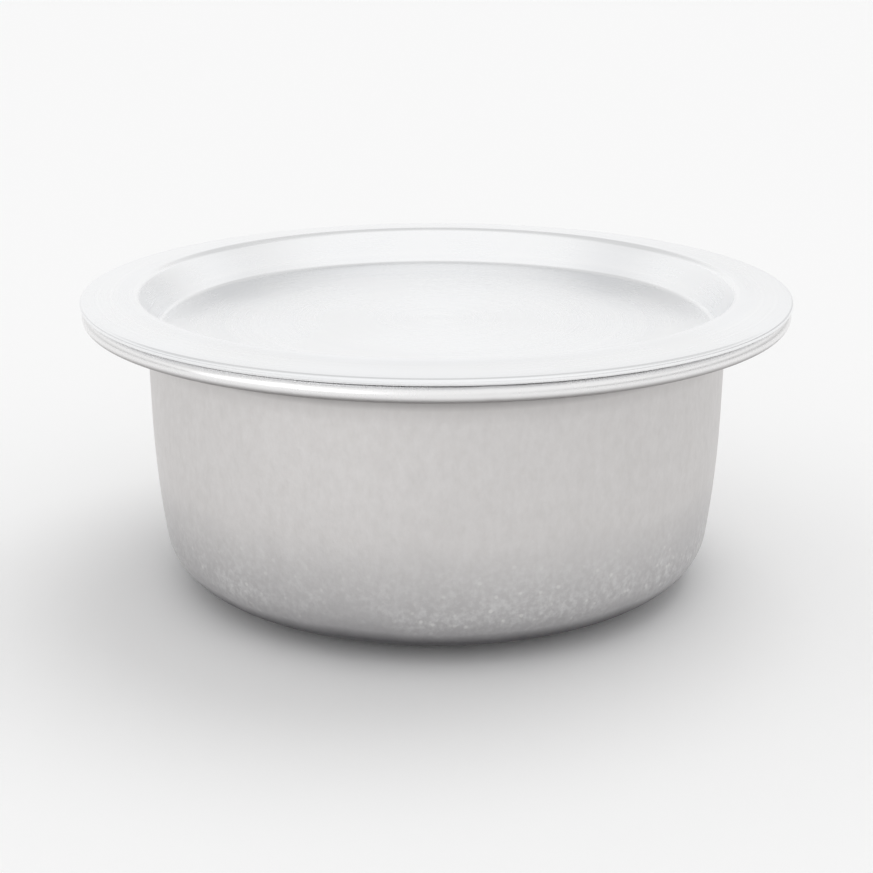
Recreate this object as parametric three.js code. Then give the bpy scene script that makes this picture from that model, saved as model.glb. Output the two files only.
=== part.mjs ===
// Handleless cooking pot with a drop-in lid, both formed from round aluminium blanks.
// Millimetres, +Z up, origin at the centre of the flat base.
// Each piece is one sheet: its section is drawn as a line of straights and bends, given the
// thickness of the sheet, and turned about the axis.

import * as THREE from 'three';
import { mergeVertices } from 'three/addons/utils/BufferGeometryUtils.js';

// The pot: the sheet and its main sizes
const potGauge = 1.2; // thickness of the sheet
const mouthDiameter = 200; // outside the wall, just under the mouth
const flangeHeight = 99.2; // from the base to the top of the flange
const flangeReach = 21.4; // from the outside of the wall to the outside of the rolled bead

// The pot: the line of its outer face, from the base upwards
const heelRadius = 43; // shallow curve where the flat base starts to lift
const heelSweep = 28; // degrees that the heel turns through
const cornerRadius = 17; // tighter curve from the heel up into the wall
const wallFootLean = 7.5; // degrees off upright where the wall leaves the corner
const wallBowRadius = 360; // long curve of the lower wall
const wallLean = 0.6; // degrees off upright of the straight upper wall
const mouthBend = 12; // radius of the flare from wall to flange, on its underside

// The pot: the rolled bead on the edge of the flange
const beadCore = 3; // width of the hollow inside the roll
const beadSlit = 0.4; // gap between the sheet's cut edge and the underside of the flange

// The lid: the sheet and its main sizes
const lidGauge = 1; // thickness of the sheet
const lidOverhang = 0.4; // how far the lid reaches past the bead of the pot
const rimFall = 4; // degrees that the rim falls towards its edge
const recessDepth = 12.9; // from the crest of the rim down to the floor of the recess
const recessFillet = 2; // radius between the floor and the wall of the recess
const recessLean = 27; // degrees off upright of the recess wall, so that the lid finds its place
const crestBend = 3; // radius of the crest between the recess wall and the rim

// The lid: the flat hem folded under its edge
const hemSlit = 0.3; // gap left inside the fold
const hemReturn = 4; // width of the part that is folded back

// How the lid sits in the pot
const seatGap = 0.3; // between the hem and the flange
const mouthClearance = 1.8; // between the recess wall and the flare of the mouth, all round

// How finely curves are divided
const chordError = 0.08; // largest distance between a bend and its chords
const turnSteps = 60; // steps around the axis
const weldDistance = 1e-4; // vertices closer than this are one

const aluminium = { color: 0xc9c8c6, roughness: 0.42, metalness: 1 };
const brightAluminium = { color: 0xdddfe1, roughness: 0.3, metalness: 1 };

const radians = THREE.MathUtils.degToRad;

// One sheet seen in section. The drawn face starts on the axis and runs outwards; the other face
// lies at the given offset, to the left of the line where it is positive.
class SheetLine {
  constructor(height, offset) {
    this.offset = offset;
    this.at = new THREE.Vector2(0, height);
    this.heading = 0; // degrees, 0 pointing away from the axis and 90 pointing up
    this.drawnFace = [];
    this.otherFace = [];
    this.mark();
  }

  mark() {
    const heading = radians(this.heading);
    const left = new THREE.Vector2(-Math.sin(heading), Math.cos(heading));
    this.drawnFace.push(this.at.clone());
    this.otherFace.push(left.multiplyScalar(this.offset).add(this.at));
  }

  straight(length) {
    const heading = radians(this.heading);
    this.at.add(new THREE.Vector2(Math.cos(heading), Math.sin(heading)).multiplyScalar(length));
    this.mark();
    return this;
  }

  // Turns left by a positive sweep and right by a negative one, in degrees.
  bend(radius, sweep) {
    const widest = radius + Math.abs(this.offset);
    const finest = THREE.MathUtils.radToDeg(2 * Math.acos(1 - chordError / widest));
    const steps = Math.ceil(Math.abs(sweep) / finest);
    const chord = 2 * radius * Math.sin(radians(Math.abs(sweep) / steps / 2));
    for (let step = 0; step < steps; step++) {
      const along = radians(this.heading + sweep / steps / 2);
      this.at.add(new THREE.Vector2(Math.cos(along), Math.sin(along)).multiplyScalar(chord));
      this.heading += sweep / steps;
      this.mark();
    }
    return this;
  }

  // The whole section as one outline that starts and ends on the axis.
  outline() {
    return [...this.drawnFace, ...this.otherFace.slice().reverse()];
  }
}

// How far a bend from one heading to another reaches outwards, and how far it rises.
const bendReach = (radius, from, to) => radius * Math.abs(Math.sin(radians(to)) - Math.sin(radians(from)));
const bendRise = (radius, from, to) => radius * Math.abs(Math.cos(radians(to)) - Math.cos(radians(from)));

// Turns an outline about the Z axis into one closed surface.
function turned(outline) {
  const lathe = new THREE.LatheGeometry(outline, turnSteps).rotateX(Math.PI / 2);
  lathe.deleteAttribute('normal');
  lathe.deleteAttribute('uv');
  const welded = mergeVertices(lathe, weldDistance);
  const corners = welded.index.array;
  const faces = [];
  for (let first = 0; first < corners.length; first += 3) {
    const [a, b, c] = corners.slice(first, first + 3);
    const collapsed = a === b || b === c || c === a; // where the outline meets the axis
    if (!collapsed) faces.push(a, b, c);
  }
  welded.setIndex(faces);
  welded.computeVertexNormals();
  return welded;
}

// Sizes that both pieces share
const wallRadius = mouthDiameter / 2;
const potRadius = wallRadius + flangeReach;
const wallHeading = 90 - wallLean;
const flangeUnderside = flangeHeight - potGauge;

// The pot is drawn along its outer face, with the sheet on the left of the line.
function potOutline() {
  const footHeading = 90 - wallFootLean;

  const curvedRise =
    bendRise(heelRadius, 0, heelSweep) +
    bendRise(cornerRadius, heelSweep, footHeading) +
    bendRise(wallBowRadius, footHeading, wallHeading);
  const straightRise = flangeUnderside - bendRise(mouthBend, wallHeading, 0) - curvedRise;
  const straightWall = straightRise / Math.sin(radians(wallHeading));

  const curvedReach =
    bendReach(heelRadius, 0, heelSweep) +
    bendReach(cornerRadius, heelSweep, footHeading) +
    bendReach(wallBowRadius, footHeading, wallHeading);
  const flatBase = wallRadius - curvedReach - straightWall * Math.cos(radians(wallHeading));

  const beadInside = beadCore / 2;
  const beadOutside = beadInside + potGauge;
  const flatFlange = potRadius - beadOutside - wallRadius - bendReach(mouthBend, wallHeading, 0);
  const lastLift = Math.asin((beadInside - beadSlit) / beadOutside); // ends short of the flange
  const beadSweep = 270 + THREE.MathUtils.radToDeg(lastLift);

  return new SheetLine(0, potGauge)
    .straight(flatBase)
    .bend(heelRadius, heelSweep)
    .bend(cornerRadius, footHeading - heelSweep)
    .bend(wallBowRadius, wallHeading - footHeading)
    .straight(straightWall)
    .bend(mouthBend, -wallHeading)
    .straight(flatFlange)
    .bend(beadInside, -beadSweep)
    .outline();
}

// The lid is drawn along its top face, with the sheet on the right of the line. The wall of its
// recess keeps clear of the flare of the mouth, and its folded hem lies level on the flange.
function lidOutline() {
  const hemOutside = lidGauge + hemSlit / 2;
  const hemMiddle = flangeHeight + seatGap + hemOutside;
  const rimEdge = potRadius + lidOverhang - hemOutside + bendReach(hemOutside, 0, rimFall);
  const rimEdgeTop = hemMiddle + hemOutside * Math.cos(radians(rimFall));

  // A recess too shallow for its wall is joined by the two bends alone.
  const bendsOnly = Math.acos(Math.max(-1, 1 - recessDepth / (recessFillet + crestBend)));
  const heading = Math.min(90 - recessLean, THREE.MathUtils.radToDeg(bendsOnly));
  const straightWall =
    (recessDepth - bendRise(recessFillet + crestBend, 0, heading)) / Math.sin(radians(heading));

  // The wall's line passes this far from the middle of the flare, so it meets the base level here.
  const flareRadius = wallRadius + bendReach(mouthBend, wallHeading, 0);
  const flareHeight = flangeUnderside - mouthBend;
  const wallDistance = mouthBend + potGauge + mouthClearance + lidGauge;
  const inward = 1 / Math.tan(radians(heading)); // run of the wall for each unit of its rise
  const wallAtBase = flareRadius - wallDistance / Math.sin(radians(heading)) - flareHeight * inward;

  // The rim falls from the crest, and the crest lies further out the higher it is.
  const fall = Math.tan(radians(rimFall));
  const crestOffset = bendReach(crestBend, heading, -rimFall) - bendRise(crestBend, 0, heading) * inward;
  const crestRise = bendRise(crestBend, 0, rimFall);
  const crest =
    (rimEdgeTop + crestRise + (rimEdge - wallAtBase - crestOffset) * fall) / (1 + inward * fall);
  const crestEnd = wallAtBase + crest * inward + crestOffset;
  const rimWidth = (rimEdge - crestEnd) / Math.cos(radians(rimFall));

  const floor = crest - recessDepth;
  const wallFoot = wallAtBase + (floor + bendRise(recessFillet, 0, heading)) * inward;
  const flatFloor = wallFoot - bendReach(recessFillet, 0, heading);

  return new SheetLine(floor, -lidGauge)
    .straight(flatFloor)
    .bend(recessFillet, heading)
    .straight(straightWall)
    .bend(crestBend, -heading - rimFall)
    .straight(rimWidth)
    .bend(hemOutside, rimFall - 180)
    .straight(hemReturn)
    .outline()
    .reverse();
}

function piece(name, outline, finish) {
  const mesh = new THREE.Mesh(turned(outline), new THREE.MeshStandardMaterial(finish));
  mesh.name = name;
  return mesh;
}

const cookingPot = new THREE.Group();
cookingPot.add(piece('pot_body', potOutline(), aluminium));
cookingPot.add(piece('lid', lidOutline(), brightAluminium));

export default cookingPot;
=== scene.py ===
# %% [markdown]
# # A handleless aluminium pot and its drop-in lid
# The pot is one round blank of aluminium, drawn into a bowed wall with a flat flange and a rolled bead.
# The lid is a second, thinner blank: a sunken floor, a rim that falls a little, and an edge folded under.
# The measured solids come first, as the frame that every visible piece has to fit.

# %% Load the measured frame
import math
import bpy
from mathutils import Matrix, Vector, noise


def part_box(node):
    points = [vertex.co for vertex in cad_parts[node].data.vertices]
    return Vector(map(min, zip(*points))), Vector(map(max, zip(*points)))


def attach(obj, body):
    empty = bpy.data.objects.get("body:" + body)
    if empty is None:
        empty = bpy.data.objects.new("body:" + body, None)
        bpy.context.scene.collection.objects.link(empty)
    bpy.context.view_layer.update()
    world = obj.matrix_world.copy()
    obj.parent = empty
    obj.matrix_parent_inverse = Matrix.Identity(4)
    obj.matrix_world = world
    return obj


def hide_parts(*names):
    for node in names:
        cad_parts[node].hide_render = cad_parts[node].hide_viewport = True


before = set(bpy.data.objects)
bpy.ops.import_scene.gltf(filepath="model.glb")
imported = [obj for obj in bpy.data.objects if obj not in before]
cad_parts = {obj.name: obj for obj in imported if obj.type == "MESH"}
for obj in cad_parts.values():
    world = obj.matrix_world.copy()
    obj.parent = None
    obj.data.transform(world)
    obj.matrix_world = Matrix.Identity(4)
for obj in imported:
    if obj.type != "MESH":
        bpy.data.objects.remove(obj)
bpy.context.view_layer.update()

# %% [markdown]
# ## The few sizes that everything follows
# The reach of the bead, the height of the flange and the edge of the lid are read from the solids.
# What a box can't tell, such as the thickness of a sheet or the radius of a bend, is written down in
# millimetres and turned into metres once, so that the numbers can be checked with a ruler in mind.

# %% Sizes in metres
MM = 0.001
_, pot_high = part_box("pot_body")
_, lid_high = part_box("lid")
pot_radius = pot_high.x
flange_height = pot_high.z
lid_radius = lid_high.x
pot_gauge = 1.2 * MM
lid_gauge = 1.0 * MM
wall_radius = 100 * MM
print("pot", round(2 * pot_radius / MM, 1), "mm across,", round(flange_height / MM, 1), "mm to its flange")

# %% [markdown]
# ## Drawing a sheet in section
# A spun or pressed sheet has the same thickness everywhere. A bezier outline with a Screw and a Solidify
# modifier would do, but then a bend radius is only as good as the handles. Here a pen walks along one
# face of the sheet, straight on or round a bend, and marks the other face at the sheet's thickness.
# Each mark also remembers which part of the piece it is on, which the finishes use later.

# %% A pen that draws sheet metal
longest_step = 3.0 * MM
widest_turn = 6.0
fewest_chords = 2


class SheetPen:
    def __init__(self, height, other_side):
        self.at = Vector((0.0, height))
        self.heading = 0.0
        self.other_side = other_side
        self.near = []
        self.far = []
        self.part = []

    def along(self, degrees):
        return Vector((math.cos(math.radians(degrees)), math.sin(math.radians(degrees))))

    def mark(self, part):
        left = self.along(self.heading + 90)
        self.near.append(self.at.copy())
        self.far.append(self.at + left * self.other_side)
        self.part.append(part)

    def straight(self, part, length):
        if not self.near:
            self.mark(part)
        steps = max(1, math.ceil(length / longest_step))
        for _ in range(steps):
            self.at += self.along(self.heading) * (length / steps)
            self.mark(part)

    def bend(self, part, radius, sweep):
        arc = math.radians(abs(sweep)) * radius
        steps = max(fewest_chords, math.ceil(abs(sweep) / widest_turn), math.ceil(arc / longest_step))
        turn = sweep / steps
        chord = 2 * radius * math.sin(math.radians(abs(turn) / 2))
        for _ in range(steps):
            self.at += self.along(self.heading + turn / 2) * chord
            self.heading += turn
            self.mark(part)


print("pen: steps up to", round(longest_step / MM, 1), "mm and turns up to", widest_turn, "degrees")

# %% [markdown]
# ## How far a bend goes
# Where a sheet has to end at a given place, the straight lengths are what the bends leave over. So it helps
# to know how far a bend between two headings goes outwards, and how far it goes up.

# %% The reach and the rise of a bend
def reach(radius, start, end):
    return radius * abs(math.sin(math.radians(end)) - math.sin(math.radians(start)))


def rise(radius, start, end):
    return radius * abs(math.cos(math.radians(end)) - math.cos(math.radians(start)))


print("a quarter turn of 10 mm reaches", reach(10, 0, 90), "mm and rises", round(rise(10, 0, 90), 3), "mm")

# %% [markdown]
# ## The section of the pot
# From the flat base a shallow heel lifts into a tighter corner, the lower wall bows gently, and the upper
# wall runs almost upright. At the mouth the sheet flares out flat, and its edge is rolled under into a
# hollow bead that stiffens the rim. The straight lengths are what is left between the bends.

# %% Draw the pot's section
heel_radius, heel_sweep = 43 * MM, 28
corner_radius, foot_heading = 17 * MM, 82.5
bow_radius, wall_heading = 360 * MM, 89.4
mouth_bend = 12 * MM
bead_core = 1.5 * MM
bead_slit = 0.4 * MM

curved_rise = rise(heel_radius, 0, heel_sweep) + rise(corner_radius, heel_sweep, foot_heading)
curved_rise += rise(bow_radius, foot_heading, wall_heading)
wall_rise = flange_height - pot_gauge - rise(mouth_bend, wall_heading, 0) - curved_rise
wall_length = wall_rise / math.sin(math.radians(wall_heading))
curved_reach = reach(heel_radius, 0, heel_sweep) + reach(corner_radius, heel_sweep, foot_heading)
curved_reach += reach(bow_radius, foot_heading, wall_heading)
base_radius = wall_radius - curved_reach - wall_length * math.cos(math.radians(wall_heading))
bead_radius = bead_core + pot_gauge
flange_width = pot_radius - bead_radius - wall_radius - reach(mouth_bend, wall_heading, 0)
bead_sweep = 270 + math.degrees(math.asin((bead_core - bead_slit) / bead_radius))

pot_pen = SheetPen(0.0, pot_gauge)
pot_pen.straight("base", base_radius)
pot_pen.bend("heel", heel_radius, heel_sweep)
pot_pen.bend("corner", corner_radius, foot_heading - heel_sweep)
pot_pen.bend("wall", bow_radius, wall_heading - foot_heading)
pot_pen.straight("wall", wall_length)
pot_pen.bend("mouth", mouth_bend, -wall_heading)
pot_pen.straight("flange", flange_width)
pot_pen.bend("bead", bead_core, -bead_sweep)
print("pot section:", len(pot_pen.near), "stations, flat base", round(base_radius / MM, 1), "mm in radius")

# %% [markdown]
# ## The section of the lid
# The lid drops into the mouth: its floor is sunk, and the leaning wall of the recess lets it find its
# own place in the flare. From the crest the rim falls a few degrees to an edge that is folded under, and
# the fold lies level on the flange. The pen draws the top face, so the thickness goes to the right.

# %% Set out the lid
seat_gap = 0.3 * MM
mouth_clearance = 1.8 * MM
hem_slit = 0.3 * MM
hem_return = 4 * MM
rim_fall = 4
recess_depth = 12.9 * MM
recess_fillet = 2 * MM
recess_heading = 63
crest_bend = 3 * MM

hem_radius = lid_gauge + hem_slit / 2
rim_edge = lid_radius - hem_radius + reach(hem_radius, 0, rim_fall)
rim_edge_top = flange_height + seat_gap + hem_radius + hem_radius * math.cos(math.radians(rim_fall))
recess_rise = recess_depth - rise(recess_fillet + crest_bend, 0, recess_heading)
recess_wall = recess_rise / math.sin(math.radians(recess_heading))
print("hem", round(2 * hem_radius / MM, 2), "mm thick, recess wall", round(recess_wall / MM, 2), "mm long")

# %% [markdown]
# ## Where the lid's recess stands
# The wall of the recess keeps the same distance from the flare of the mouth all round. That settles the
# line it leans along, and the crest is where this line meets the falling rim.

# %% Draw the lid's section
run = 1 / math.tan(math.radians(recess_heading))
fall = math.tan(math.radians(rim_fall))
flare_radius = wall_radius + reach(mouth_bend, wall_heading, 0)
flare_height = flange_height - pot_gauge - mouth_bend
clear_of_flare = mouth_bend + pot_gauge + mouth_clearance + lid_gauge
wall_at_base = flare_radius - clear_of_flare / math.sin(math.radians(recess_heading)) - flare_height * run
crest_offset = reach(crest_bend, recess_heading, -rim_fall) - rise(crest_bend, 0, recess_heading) * run
crest = rim_edge_top + rise(crest_bend, 0, rim_fall) + (rim_edge - wall_at_base - crest_offset) * fall
crest /= 1 + run * fall
rim_width = (rim_edge - wall_at_base - crest * run - crest_offset) / math.cos(math.radians(rim_fall))
floor_height = crest - recess_depth
floor_radius = wall_at_base + (floor_height + rise(recess_fillet, 0, recess_heading)) * run
floor_radius -= reach(recess_fillet, 0, recess_heading)

lid_pen = SheetPen(floor_height, -lid_gauge)
lid_pen.straight("floor", floor_radius)
lid_pen.bend("fillet", recess_fillet, recess_heading)
lid_pen.straight("recess", recess_wall)
lid_pen.bend("crest", crest_bend, -recess_heading - rim_fall)
lid_pen.straight("rim", rim_width)
lid_pen.bend("hem", hem_radius, rim_fall - 180)
lid_pen.straight("fold", hem_return)
print("lid section:", len(lid_pen.near), "stations")
print("crest", round(crest / MM, 2), "mm against", round(lid_high.z / MM, 2), "mm in the solid")

# %% [markdown]
# ## Turning a section into a mesh
# Blender's Spin operator could turn the outline, but the rings are laid down one by one here, because
# each ring still knows its part. Every vertex gets a number called rubbed: 1 where hands, stacking and
# the rolling tool have polished the metal, 0 where the drawn surface is untouched.

# %% Turn a section about the axis
steps_round = 240
on_the_axis = 1e-6
sharp_edge = 40


def turn_sheet(name, pen, rubbed_of, finish_of):
    rings = [(p, part, "near") for p, part in zip(pen.near, pen.part)]
    rings += [(p, part, "far") for p, part in reversed(list(zip(pen.far, pen.part)))]
    points, rubbed, starts = [], [], []
    for place, part, _ in rings:
        starts.append(len(points))
        for k in range(1 if place.x < on_the_axis else steps_round):
            a = 2 * math.pi * k / steps_round
            points.append((place.x * math.cos(a), place.x * math.sin(a), place.y))
            rubbed.append(rubbed_of(part, place))
    quads, finishes = [], []
    for i in range(len(rings) - 1):
        low, high = starts[i], starts[i + 1]
        face = rings[i][2]
        part = rings[i + 1][1] if face == "near" else rings[i][1]
        for k in range(steps_round):
            n = (k + 1) % steps_round
            quad = [low + k, low + n, high + n, high + k]
            if high - low == 1:
                quad = [low, high + n, high + k]
            elif high == len(points) - 1:
                quad = [low + k, low + n, high]
            quads.append(quad if pen.other_side > 0 else quad[::-1])
            finishes.append(finish_of(part, face))
    mesh = bpy.data.meshes.new(name)
    mesh.from_pydata(points, [], quads)
    mesh.polygons.foreach_set("material_index", finishes)
    mesh.attributes.new("rubbed", "FLOAT", "POINT").data.foreach_set("value", rubbed)
    mesh.shade_smooth()
    mesh.set_sharp_from_angle(angle=math.radians(sharp_edge))
    piece = bpy.data.objects.new(name, mesh)
    bpy.context.scene.collection.objects.link(piece)
    print(name, len(points), "vertices,", len(quads), "faces")
    return piece


# %% [markdown]
# ## The pot
# The outside takes the first finish, the inside the second and the underside the third. The bead and
# the flange are rubbed bright, because they are handled, stacked and wiped most. The underside of the bead
# is left unrubbed, so that it takes the painted shade from under the flange.

# %% Make the pot
OUTSIDE, INSIDE, UNDERSIDE = 0, 1, 2
inner_parts = ("base", "heel", "corner", "wall", "mouth")
flange_polish = 0.7
bead_foot = flange_height - 2 * bead_radius
bead_shade_to = bead_foot + 0.6 * MM
bead_unshaded_from = bead_foot + 2.6 * MM
flare_dull_to = flange_height - 4 * MM


def fade(value, start, end):
    t = min(1.0, max(0.0, (value - start) / (end - start)))
    return t * t * (3 - 2 * t)


def pot_rubbed(part, place):
    # The bead's underside is left unrubbed, so that the painted shade under the flange darkens it.
    if part == "bead":
        return fade(place.y, bead_shade_to, bead_unshaded_from)
    if part == "mouth":
        return flange_polish * fade(place.y, flare_dull_to, flange_height - pot_gauge)
    return flange_polish if part == "flange" else 0.0


def pot_finish(part, face):
    if face == "far" and part in inner_parts:
        return INSIDE
    return UNDERSIDE if part == "base" else OUTSIDE


pot = turn_sheet("pot", pot_pen, pot_rubbed, pot_finish)
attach(pot, "pot")
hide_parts("pot_body")

# %% [markdown]
# ## The lid
# The top of the lid takes the bright finish and its underside a duller one. The crest of the rim and the
# folded edge are the parts that a cloth and other pots rub.

# %% Make the lid
TOP, BELOW = 0, 1
lid_polish = {"hem": 1.0, "crest": 0.6, "rim": 0.4}


def lid_rubbed(part, place):
    return lid_polish.get(part, 0.0)


def lid_finish(part, face):
    return TOP if face == "near" else BELOW


lid = turn_sheet("drop_in_lid", lid_pen, lid_rubbed, lid_finish)
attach(lid, "lid")
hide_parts("lid")

# %% [markdown]
# ## An uneven pot
# A perfect turned surface looks like plastic. Sheet that has been drawn and rolled is out of true by about
# a tenth of a millimetre. A Displace modifier could do this, but moving the vertices keeps both faces of
# the sheet together. They move only inwards and downwards, so the sizes hold. A few nicks dent the bead.

# %% How the pot is out of true
wall_pull, wall_waves, waves_up = 0.10 * MM, 2.3, 16
rim_drop, rim_waves, rim_seed = 0.10 * MM, 1.7, 5.0
nick_reach = 2.2 * MM
# Each nick: degrees round the rim, width and depth in millimetres.
bead_nicks = [
    (-82.5, 0.9, 0.30),
    (-111.0, 1.3, 0.22),
    (-38.0, 1.0, 0.25),
    (64.0, 1.2, 0.3),
    (151.0, 1.0, 0.25),
]


def half_swing(point):
    return 0.5 + 0.5 * noise.noise(point)


def work_pot(place):
    r = math.hypot(place.x, place.y)
    if r < on_the_axis:
        return place
    out = Vector((place.x / r, place.y / r, 0))
    wall = fade(place.z, 6 * MM, 20 * MM) * (1 - fade(place.z, 80 * MM, 92 * MM))
    pull = wall_pull * wall * half_swing((out.x * wall_waves, out.y * wall_waves, place.z * waves_up))
    rim = fade(r, 103 * MM, 114 * MM)
    drop = rim_drop * rim * half_swing((out.x * rim_waves, out.y * rim_waves, rim_seed))
    dent = 0.0
    for angle, width, depth in bead_nicks:
        side = math.atan2(out.y, out.x) - math.radians(angle)
        side = math.atan2(math.sin(side), math.cos(side)) * r / (width * MM)
        dent += depth * MM * math.exp(-side * side) * fade(r, pot_radius - nick_reach, pot_radius)
    return place - out * (pull + dent) - Vector((0, 0, drop))


print("nicks in the bead:", len(bead_nicks))

# %% [markdown]
# ## An uneven lid
# The wide floor of a lid sinks and swells by about a fifth of a millimetre, and the edge of its rim has
# settled by as much, so that it lies close on the flange. Then both sheets are worked.

# %% Work both sheets
floor_swell, floor_waves, floor_seed = 0.22 * MM, 11, 2.0
rim_settle, settle_waves, settle_seed = 0.18 * MM, 14, 9.0
settle_swing = 0.4


def work_lid(place):
    r = math.hypot(place.x, place.y)
    swell = floor_swell * (1 - fade(r, 0.55 * floor_radius, 0.97 * floor_radius))
    swell *= noise.noise((place.x * floor_waves, place.y * floor_waves, floor_seed))
    settle = rim_settle * fade(r, 106 * MM, 114 * MM)
    settle *= 1 + settle_swing * noise.noise((place.x * settle_waves, place.y * settle_waves, settle_seed))
    return place + Vector((0, 0, swell - settle))


for piece, work in ((pot, work_pot), (lid, work_lid)):
    for vertex in piece.data.vertices:
        vertex.co = work(vertex.co)
    piece.data.update()
    print(piece.name, "reaches", [round(d / MM, 2) for d in piece.dimensions], "mm")

# %% [markdown]
# ## A short hand for shader nodes
# A finish is a small net of nodes. One helper adds a node, sets its fields and joins its sockets, and the
# others give the common nodes a short name, so that a finish reads as a list of what the metal shows.

# %% Shader helpers
def new_finish(name):
    finish = bpy.data.materials.new(name)
    finish.use_nodes = True
    finish.node_tree.nodes.clear()
    return finish


def add(finish, kind, sockets=None, **fields):
    node = finish.node_tree.nodes.new("ShaderNode" + kind)
    for field, value in fields.items():
        setattr(node, field, value)
    for socket, value in (sockets or {}).items():
        if isinstance(value, bpy.types.NodeSocket):
            finish.node_tree.links.new(value, node.inputs[socket])
        else:
            node.inputs[socket].default_value = value
    return node


def sums(finish, operation, a, b):
    return add(finish, "Math", {0: a, 1: b}, operation=operation).outputs[0]


def plus(finish, a, b):
    return sums(finish, "ADD", a, b)


def times(finish, a, b):
    return sums(finish, "MULTIPLY", a, b)


def span(finish, value, low, high, to_low, to_high):
    sockets = {"Value": value, "From Min": low, "From Max": high, "To Min": to_low, "To Max": to_high}
    return add(finish, "MapRange", sockets).outputs["Result"]


def tint(finish, factor, first, second):
    return add(finish, "Mix", {0: factor, 6: first, 7: second}, data_type="RGBA").outputs[2]


print("shader helpers: new_finish, add, sums, plus, times, span, tint")

# %% [markdown]
# ## Noise and metal
# Blender's noise runs from 0 to 1 but mostly stays between 0.3 and 0.7, so the spread of a finish is set
# over that part. The metal itself is one Principled shader. Where a finish goes round in rings, the shader
# is told so by a radial tangent, and reflections stretch across the rings.

# %% Noise and metal helpers
usual_low, usual_high = 0.3, 0.7


def grain(finish, vector, scale, detail=3.0, rough=0.55):
    sockets = {"Vector": vector, "Scale": scale, "Detail": detail, "Roughness": rough}
    return add(finish, "TexNoise", sockets).outputs["Fac"]


def swing(finish, value, to_low, to_high):
    return span(finish, value, usual_low, usual_high, to_low, to_high)


def metal(finish, colour, roughness, relief, depth, swirl=0.0):
    bump = add(finish, "Bump", {"Strength": 1.0, "Distance": depth, "Height": relief})
    sockets = {"Base Color": colour, "Metallic": 1.0, "Roughness": roughness}
    sockets["Normal"] = bump.outputs["Normal"]
    shader = add(finish, "BsdfPrincipled", sockets)
    if swirl:
        shader.inputs["Anisotropic"].default_value = swirl
        round_axis = add(finish, "Tangent", direction_type="RADIAL", axis="Z")
        finish.node_tree.links.new(round_axis.outputs["Tangent"], shader.inputs["Tangent"])
    add(finish, "OutputMaterial", {"Surface": shader.outputs["BSDF"]})


print("noise is spread from", usual_low, "to", usual_high)

# %% [markdown]
# ## The grain of the drawn wall
# Drawing stretches the grain of the sheet, so the wall has an even skin of short upright flecks with a finer
# mottling through it, very faint upright streaks, and cloudy patches of handling. A painted texture could
# hold all this, but noise in the object's own space needs no unwrapping and leaves no seam.

# %% The grain
wall_dark = (0.64, 0.623, 0.615, 1)
wall_light = (0.72, 0.705, 0.70, 1)
fleck_stretch = (1.0, 1.0, 0.6)
streak_stretch = (1.0, 1.0, 0.05)
shares = {"flecks": 0.30, "clouds": 0.25, "streaks": 0.12, "mottle": 0.33}


def drawn_grain(finish, place):
    upright = add(finish, "Mapping", {"Vector": place, "Scale": fleck_stretch}).outputs["Vector"]
    drawn = add(finish, "Mapping", {"Vector": place, "Scale": streak_stretch}).outputs["Vector"]
    return {
        "flecks": grain(finish, upright, scale=760.0, detail=3.0),
        "streaks": grain(finish, drawn, scale=240.0, detail=4.0),
        "mottle": grain(finish, upright, scale=340.0, detail=3.0, rough=0.6),
        "clouds": grain(finish, place, scale=26.0, detail=5.0, rough=0.6),
    }


def grain_colour(finish, layers):
    tone = 0.0
    for layer, share in shares.items():
        tone = plus(finish, tone, times(finish, layers[layer], share))
    return tint(finish, span(finish, tone, 0.36, 0.64, 0.0, 1.0), wall_dark, wall_light)


print("layers of the grain:", shares)

# %% [markdown]
# ## Where the wall is darker
# The lower wall is darker towards the bottom, up to a line that wavers by a few millimetres. A band under the
# flange and the flare under it are darkened as painted shade, which runs on onto the underside of the bead.
# Each is a tint over a range of heights, which stays put when the pot is seen from any side.

# %% Dull wall and grime
dark_lower_wall = (0.47, 0.465, 0.475, 1)
# Painted shade: a band under the flange, and a darker strip under the flare that runs on under the bead.
flange_shade_band = (0.42, 0.405, 0.40, 1)
flare_shade = (0.24, 0.23, 0.23, 1)
waver = 3 * MM


def darkened_and_shaded(finish, body, height, clouds):
    wavy = plus(finish, height, swing(finish, clouds, -waver, waver))
    # The lower wall is tinted darker towards the bottom.
    body = tint(finish, span(finish, wavy, 6 * MM, 44 * MM, 0.95, 0.0), body, dark_lower_wall)
    # Painted shade in a band under the flange.
    body = tint(finish, span(finish, height, 81 * MM, 91 * MM, 0.0, 0.55), body, flange_shade_band)
    # Darker painted shade under the flare, a little weaker where it reaches the underside of the bead.
    under_flare = span(finish, height, 85.5 * MM, 89.2 * MM, 0.0, 0.8)
    under_flange = span(finish, height, 92 * MM, 94 * MM, 1.0, 0.75)
    return tint(finish, times(finish, under_flare, under_flange), body, flare_shade)


# The dull band and the shade from 85.5 mm are painted shade under the flange.
print("dull wall up to 44 mm, dull band from 81 mm, grime from 85.5 mm")

# %% [markdown]
# ## Scrapes and the dark foot
# Above the foot, pits and old scrapes show as small pale marks, more of them where the clouds are pale.
# The turn of the foot is darkest, with painted shade where it meets the floor, and the shade thins out
# towards the flat base. Noise gives the pits, and a Voronoi pattern the rounder specks.

# %% Pale marks and burnt foot
pit_colour = (0.76, 0.76, 0.755, 1)
speck_colour = (0.84, 0.84, 0.82, 1)
# Painted shade at the turn of the foot, where it meets the floor.
foot_shade_colour = (0.145, 0.14, 0.15, 1)
foot_shade_waver = 0.8 * MM


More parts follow.
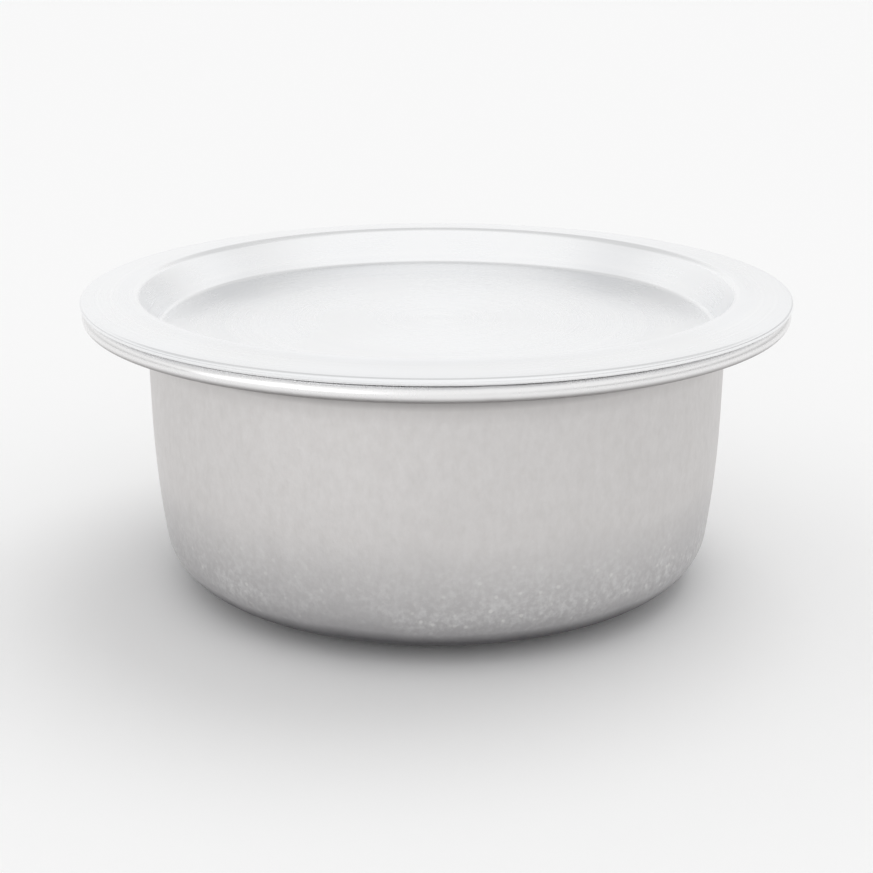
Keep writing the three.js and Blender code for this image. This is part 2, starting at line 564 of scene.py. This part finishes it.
def scraped(finish, body, place, height, clouds):
    lower = span(finish, height, 16 * MM, 46 * MM, 1.0, 0.0)
    above_foot = span(finish, height, 11 * MM, 18 * MM, 0.2, 1.0)
    patchy = span(finish, clouds, 0.40, 0.56, 0.3, 1.0)
    marked = times(finish, times(finish, lower, patchy), above_foot)
    pits = span(finish, grain(finish, place, scale=520.0, detail=2.0, rough=0.6), 0.40, 0.70, 0.0, 0.7)
    body = tint(finish, times(finish, pits, marked), body, pit_colour)
    dots = add(finish, "TexVoronoi", {"Vector": place, "Scale": 230.0}).outputs["Distance"]
    specks = span(finish, dots, 0.10, 0.20, 0.55, 0.0)
    return tint(finish, times(finish, specks, marked), body, speck_colour)


# Painted shade at the foot, thinning out towards the flat base.
def shaded(finish, body, height, clouds):
    foot = plus(finish, height, swing(finish, clouds, -foot_shade_waver, foot_shade_waver))
    below_wall = span(finish, foot, 7.5 * MM, 12 * MM, 0.85, 0.0)
    off_the_base = span(finish, foot, 0.0, 6 * MM, 0.25, 1.0)
    return tint(finish, times(finish, below_wall, off_the_base), body, foot_shade_colour)


print("pale marks from 11 to 46 mm, burnt foot up to 12 mm")

# %% [markdown]
# ## The satin outside of the pot
# The layers come together here. The clouds change the gloss more than the colour, as handling does. Where the
# metal is rubbed it is paler and smoother, and the fine relief of the grain is almost gone.

# %% The outside finish
rubbed_colour = (0.86, 0.855, 0.855, 1)
rubbed_smoother = 0.24
grain_depth = 0.1 * MM


def outside_finish():
    finish = new_finish("satin_drawn_aluminium")
    place = add(finish, "TexCoord").outputs["Object"]
    height = add(finish, "SeparateXYZ", {"Vector": place}).outputs["Z"]
    rubbed = add(finish, "Attribute", attribute_name="rubbed").outputs["Fac"]
    layers = drawn_grain(finish, place)
    clouds = layers["clouds"]

    body = grain_colour(finish, layers)
    body = darkened_and_shaded(finish, body, height, clouds)
    body = scraped(finish, body, place, height, clouds)
    body = shaded(finish, body, height, clouds)
    colour = tint(finish, rubbed, body, rubbed_colour)

    satin = plus(finish, swing(finish, clouds, 0.47, 0.57), swing(finish, layers["flecks"], -0.04, 0.04))
    roughness = sums(finish, "SUBTRACT", satin, times(finish, rubbed, rubbed_smoother))
    relief = plus(finish, layers["flecks"], times(finish, layers["streaks"], 0.25))
    relief = times(finish, relief, span(finish, rubbed, 0.0, 0.8, 1.0, 0.05))
    metal(finish, colour, roughness, relief, grain_depth)
    return finish


pot.data.materials.append(outside_finish())
print("outside finish:", len(pot.data.materials[OUTSIDE].node_tree.nodes), "nodes")

# %% [markdown]
# ## Turned finishes
# Inside the pot, under it and over the whole lid, a tool or a pad has gone round and round, so the fine
# lines are rings. Noise that depends only on the radius and the height gives lines of every width, and
# clouds break them up. The share of rings and their depth set how clearly they show.

# %% A turned finish
line_scale, band_scale = 1200.0, 160.0
cloud_gloss = (-0.05, 0.06)
line_gloss = 0.06
rubbed_gloss = 0.05


def ring_noise(finish, travel, scale):
    sockets = {"W": travel, "Scale": scale, "Detail": 2.0}
    return add(finish, "TexNoise", sockets, noise_dimensions="1D").outputs["Fac"]


def turned_finish(name, dark, light, roughness, swirl, depth, ring_share):
    finish = new_finish(name)
    place = add(finish, "TexCoord").outputs["Object"]
    rubbed = add(finish, "Attribute", attribute_name="rubbed").outputs["Fac"]
    axes = add(finish, "SeparateXYZ", {"Vector": place}).outputs
    level = add(finish, "CombineXYZ", {"X": axes["X"], "Y": axes["Y"]}).outputs["Vector"]
    radius = add(finish, "VectorMath", {0: level}, operation="LENGTH").outputs["Value"]
    travel = plus(finish, radius, axes["Z"])
    lines = ring_noise(finish, travel, line_scale)
    bands = ring_noise(finish, travel, band_scale)
    clouds = grain(finish, place, scale=22.0, detail=4.0)

    tone = add(finish, "Mix", {0: ring_share, 2: clouds, 3: bands}).outputs[0]
    colour = tint(finish, span(finish, tone, 0.35, 0.65, 0.0, 1.0), dark, light)
    cloudy = swing(finish, clouds, roughness + cloud_gloss[0], roughness + cloud_gloss[1])
    lined = swing(finish, lines, -line_gloss * ring_share, line_gloss * ring_share)
    worn = times(finish, rubbed, rubbed_gloss)
    rough = sums(finish, "SUBTRACT", plus(finish, cloudy, lined), worn)
    relief = times(finish, lines, swing(finish, clouds, 0.6, 1.0))
    metal(finish, colour, rough, relief, depth, swirl)
    return finish


print("turned lines", round(1000 / line_scale, 2), "mm and bands", round(1000 / band_scale, 2), "mm wide")

# %% [markdown]
# ## The four turned surfaces
# The inside is plain turned metal. The base is darker and rougher, scuffed by the hob. The top of the lid has
# been polished with a soft pad, so it is bright and its rings are faint. Its underside was left as turned.

# %% The inside, the base and the lid
pot.data.materials.append(turned_finish(
    "turned_inside", (0.70, 0.70, 0.69, 1), (0.78, 0.78, 0.77, 1),
    roughness=0.36, swirl=0.25, depth=0.010 * MM, ring_share=0.5,
))
pot.data.materials.append(turned_finish(
    "scuffed_base", (0.36, 0.355, 0.36, 1), (0.55, 0.545, 0.54, 1),
    roughness=0.5, swirl=0.2, depth=0.012 * MM, ring_share=0.5,
))
lid.data.materials.append(turned_finish(
    "bright_lid_top", (0.905, 0.912, 0.924, 1), (0.945, 0.948, 0.952, 1),
    roughness=0.27, swirl=0.15, depth=0.002 * MM, ring_share=0.3,
))
lid.data.materials.append(turned_finish(
    "lid_underside", (0.74, 0.74, 0.74, 1), (0.82, 0.82, 0.82, 1),
    roughness=0.38, swirl=0.25, depth=0.010 * MM, ring_share=0.5,
))
print("finishes:", [m.name for m in list(pot.data.materials) + list(lid.data.materials)])

# %% [markdown]
# ## The floor
# Metal shows what stands round it, so the studio is kept plain and pale, and most of what the wall mirrors
# is the floor. It is one matt sheet, wide enough that its far edge is hardly seen, a hair below the base.

# %% The floor
half = 60.0
floor_drop = 0.2 * MM
floor_colour = (0.95, 0.95, 0.95, 1)
floor_mesh = bpy.data.meshes.new("floor")
corners = [(-half, -half, 0), (half, -half, 0), (half, half, 0), (-half, half, 0)]
floor_mesh.from_pydata(corners, [], [(0, 1, 2, 3)])
floor = bpy.data.objects.new("floor", floor_mesh)
floor.location.z = -floor_drop
bpy.context.scene.collection.objects.link(floor)
pale = new_finish("pale_floor")
matt = {"Base Color": floor_colour, "Roughness": 0.85, "Specular IOR Level": 0.1}
add(pale, "OutputMaterial", {"Surface": add(pale, "BsdfPrincipled", matt).outputs["BSDF"]})
floor_mesh.materials.append(pale)
print("floor", 2 * half, "m wide")

# %% [markdown]
# ## The surround
# The camera sees a surround as pale as the floor, so that hardly a line shows where the floor ends. Matt
# surfaces get less light from it, so that the floor doesn't clip, and metal mirrors it as white. White all
# over would make metal look like paper, so reflections find it a bit greyer at the horizon, high up behind
# and overhead, and low on both sides. That draws the edges of the lid.

# %% The surround
light_on_matt, light_mirrored, light_seen = 0.82, 1.0, 0.94
world = bpy.data.worlds.new("white_surround")
bpy.context.scene.world = world
world.use_nodes = True
world.node_tree.nodes.clear()
rays = add(world, "LightPath").outputs
mirrored = sums(world, "MAXIMUM", rays["Is Glossy Ray"], rays["Is Transmission Ray"])
strength = span(world, mirrored, 0.0, 1.0, light_on_matt, light_mirrored)
strength = sums(world, "MAXIMUM", strength, times(world, rays["Is Camera Ray"], light_seen))

towards = add(world, "SeparateXYZ", {"Vector": add(world, "TexCoord").outputs["Generated"]}).outputs
high_up = span(world, towards["Z"], 0.40, 0.62, 0.0, 0.28)
overhead = times(world, high_up, span(world, towards["Y"], -0.35, 0.15, 0.0, 1.0))
right_side = span(world, towards["X"], 0.1, 0.9, 0.0, 0.5)
left_side = span(world, towards["X"], -0.95, -0.4, 0.35, 0.0)
low_sides = times(world, plus(world, right_side, left_side), span(world, towards["Z"], 0.05, 0.3, 1.0, 0.0))
tone = span(world, towards["Z"], 0.0, 0.2, 0.92, 1.0)
for shade in (overhead, low_sides):
    tone = times(world, tone, sums(world, "SUBTRACT", 1.0, shade))
tone = sums(world, "MAXIMUM", tone, sums(world, "SUBTRACT", 1.0, rays["Is Glossy Ray"]))

grey = add(world, "CombineColor", {"Red": tone, "Green": tone, "Blue": tone}).outputs["Color"]
surround = add(world, "Background", {"Color": grey, "Strength": strength})
add(world, "OutputWorld", {"Surface": surround.outputs["Background"]})
print("surround:", len(world.node_tree.nodes), "nodes")

# %% [markdown]
# ## Two soft lamps
# The key stands high behind the right side and gives the floor its shadow. It is hidden from reflections,
# because it would turn the lid white. The fill is low at the front left, lifts the satin wall and puts a
# line of light on the bead. It lights the pot alone: from behind, the smooth lid would mirror it as glare.

# %% The lamps
def soft_sun(name, azimuth, elevation, energy, width):
    lamp = bpy.data.lights.new(name, "SUN")
    lamp.energy = energy
    lamp.angle = math.radians(width)
    holder = bpy.data.objects.new(name, lamp)
    a, e = math.radians(azimuth), math.radians(elevation)
    aim = Vector((math.sin(a) * math.cos(e), math.cos(a) * math.cos(e), math.sin(e)))
    holder.rotation_euler = aim.to_track_quat("Z", "Y").to_euler()
    bpy.context.scene.collection.objects.link(holder)
    return holder


key = soft_sun("key", azimuth=40, elevation=68, energy=0.6, width=40)
key.visible_glossy = False
fill = soft_sun("fill", azimuth=228, elevation=8, energy=0.48, width=60)
lit_by_fill = bpy.data.collections.new("lit_by_fill")
lit_by_fill.objects.link(pot)
fill.light_linking.receiver_collection = lit_by_fill
print("lamps:", [lamp.name for lamp in (key, fill)])

# %% [markdown]
# ## The camera
# It looks at the front from a little above the rim. Its place and lens were worked out from the ellipses
# of the rim and the base, which settle the distance, the height and the tilt together.

# %% The camera
picture_side = 873
focal_pixels = 1637.07
distance, eye_height, tilt_down = 0.55919, 0.22393, 17.62
lens = bpy.data.cameras.new("front_view")
lens.sensor_width = 36.0
lens.lens = focal_pixels * lens.sensor_width / picture_side
lens.clip_end = 200.0
camera = bpy.data.objects.new("front_view", lens)
camera.location = (0.0, -distance, eye_height)
camera.rotation_euler = (math.radians(90 - tilt_down), 0.0, 0.0)
bpy.context.scene.collection.objects.link(camera)
bpy.context.scene.camera = camera
bpy.context.scene.view_settings.view_transform = "Standard"
print("lens", round(lens.lens, 2), "mm")
